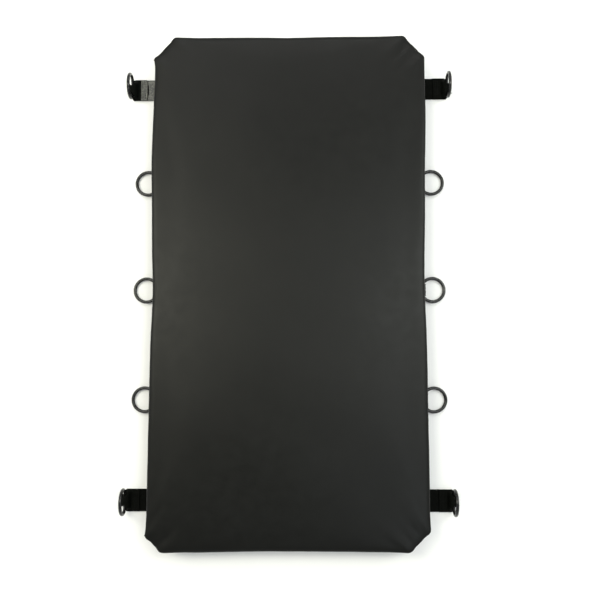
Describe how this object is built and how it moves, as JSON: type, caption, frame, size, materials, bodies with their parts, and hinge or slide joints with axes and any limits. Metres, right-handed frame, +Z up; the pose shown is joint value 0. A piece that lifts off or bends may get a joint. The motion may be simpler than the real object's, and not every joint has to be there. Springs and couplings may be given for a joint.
{
  "type": "padded mat with ring straps",
  "caption": "Flat padded mat with cut corners, webbing sewn across its underside, and hinged round rings along both sides for lashing or lifting.",
  "frame": {"origin": "middle of the footprint, on the surface that the mat lies on", "axes": "+X across the mat to the right, +Y along the mat towards its head end, +Z up out of the padded top"},
  "size_m": [0.6236, 0.944, 0.056],
  "materials": {
    "cover": "satin",
    "foam": "matte",
    "webbing": "matte",
    "thread": "satin",
    "ring": "gloss"
  },
  "bodies": {
    "pad": {"foam_core": "foam", "cover_top": "cover", "cover_bottom": "cover", "seam_thread": "thread", "head_strap": "webbing", "head_strap_stitching": "thread", "foot_strap": "webbing", "foot_strap_stitching": "thread", "upper_band": "webbing", "upper_band_stitching": "thread", "middle_band": "webbing", "middle_band_stitching": "thread", "lower_band": "webbing", "lower_band_stitching": "thread"},
    "head_strap_end_left": {"head_strap_end_left": "webbing", "head_strap_end_left_stitching": "thread"},
    "head_ring_left": {"head_ring_left": "ring"},
    "head_strap_end_right": {"head_strap_end_right": "webbing", "head_strap_end_right_stitching": "thread"},
    "head_ring_right": {"head_ring_right": "ring"},
    "foot_strap_end_left": {"foot_strap_end_left": "webbing", "foot_strap_end_left_stitching": "thread"},
    "foot_ring_left": {"foot_ring_left": "ring"},
    "foot_strap_end_right": {"foot_strap_end_right": "webbing", "foot_strap_end_right_stitching": "thread"},
    "foot_ring_right": {"foot_ring_right": "ring"},
    "upper_ring_left": {"upper_ring_left": "ring"},
    "upper_ring_right": {"upper_ring_right": "ring"},
    "middle_ring_left": {"middle_ring_left": "ring"},
    "middle_ring_right": {"middle_ring_right": "ring"},
    "lower_ring_left": {"lower_ring_left": "ring"},
    "lower_ring_right": {"lower_ring_right": "ring"}
  },
  "joints": [
    {"name": "head_strap_end_left_flex", "type": "hinge", "parent": "pad", "child": "head_strap_end_left", "pos_m": [-0.255, 0.391, 0.001], "axis": [0, 1, 0], "range_deg": [-60, 20]},
    {"name": "head_ring_left_swing", "type": "hinge", "parent": "head_strap_end_left", "child": "head_ring_left", "pos_m": [-0.303, 0.391, 0.0059], "axis": [0, 1, 0], "range_deg": [-93.5, 45]},
    {"name": "head_strap_end_right_flex", "type": "hinge", "parent": "pad", "child": "head_strap_end_right", "pos_m": [0.255, 0.391, 0.001], "axis": [0, -1, 0], "range_deg": [-60, 20]},
    {"name": "head_ring_right_swing", "type": "hinge", "parent": "head_strap_end_right", "child": "head_ring_right", "pos_m": [0.303, 0.391, 0.0059], "axis": [0, -1, 0], "range_deg": [-93.5, 45]},
    {"name": "foot_strap_end_left_flex", "type": "hinge", "parent": "pad", "child": "foot_strap_end_left", "pos_m": [-0.255, -0.391, 0.001], "axis": [0, 1, 0], "range_deg": [-60, 20]},
    {"name": "foot_ring_left_swing", "type": "hinge", "parent": "foot_strap_end_left", "child": "foot_ring_left", "pos_m": [-0.303, -0.391, 0.0059], "axis": [0, 1, 0], "range_deg": [-93.5, 45]},
    {"name": "foot_strap_end_right_flex", "type": "hinge", "parent": "pad", "child": "foot_strap_end_right", "pos_m": [0.255, -0.391, 0.001], "axis": [0, -1, 0], "range_deg": [-60, 20]},
    {"name": "foot_ring_right_swing", "type": "hinge", "parent": "foot_strap_end_right", "child": "foot_ring_right", "pos_m": [0.303, -0.391, 0.0059], "axis": [0, -1, 0], "range_deg": [-93.5, 45]},
    {"name": "upper_ring_left_swing", "type": "hinge", "parent": "pad", "child": "upper_ring_left", "pos_m": [-0.2487, 0.206, 0.0059], "axis": [0, 1, 0], "range_deg": [0, 60]},
    {"name": "upper_ring_right_swing", "type": "hinge", "parent": "pad", "child": "upper_ring_right", "pos_m": [0.2487, 0.206, 0.0059], "axis": [0, -1, 0], "range_deg": [0, 60]},
    {"name": "middle_ring_left_swing", "type": "hinge", "parent": "pad", "child": "middle_ring_left", "pos_m": [-0.2487, 0, 0.0059], "axis": [0, 1, 0], "range_deg": [0, 60]},
    {"name": "middle_ring_right_swing", "type": "hinge", "parent": "pad", "child": "middle_ring_right", "pos_m": [0.2487, 0, 0.0059], "axis": [0, -1, 0], "range_deg": [0, 60]},
    {"name": "lower_ring_left_swing", "type": "hinge", "parent": "pad", "child": "lower_ring_left", "pos_m": [-0.2487, -0.206, 0.0059], "axis": [0, 1, 0], "range_deg": [0, 60]},
    {"name": "lower_ring_right_swing", "type": "hinge", "parent": "pad", "child": "lower_ring_right", "pos_m": [0.2487, -0.206, 0.0059], "axis": [0, -1, 0], "range_deg": [0, 60]}
  ]
}
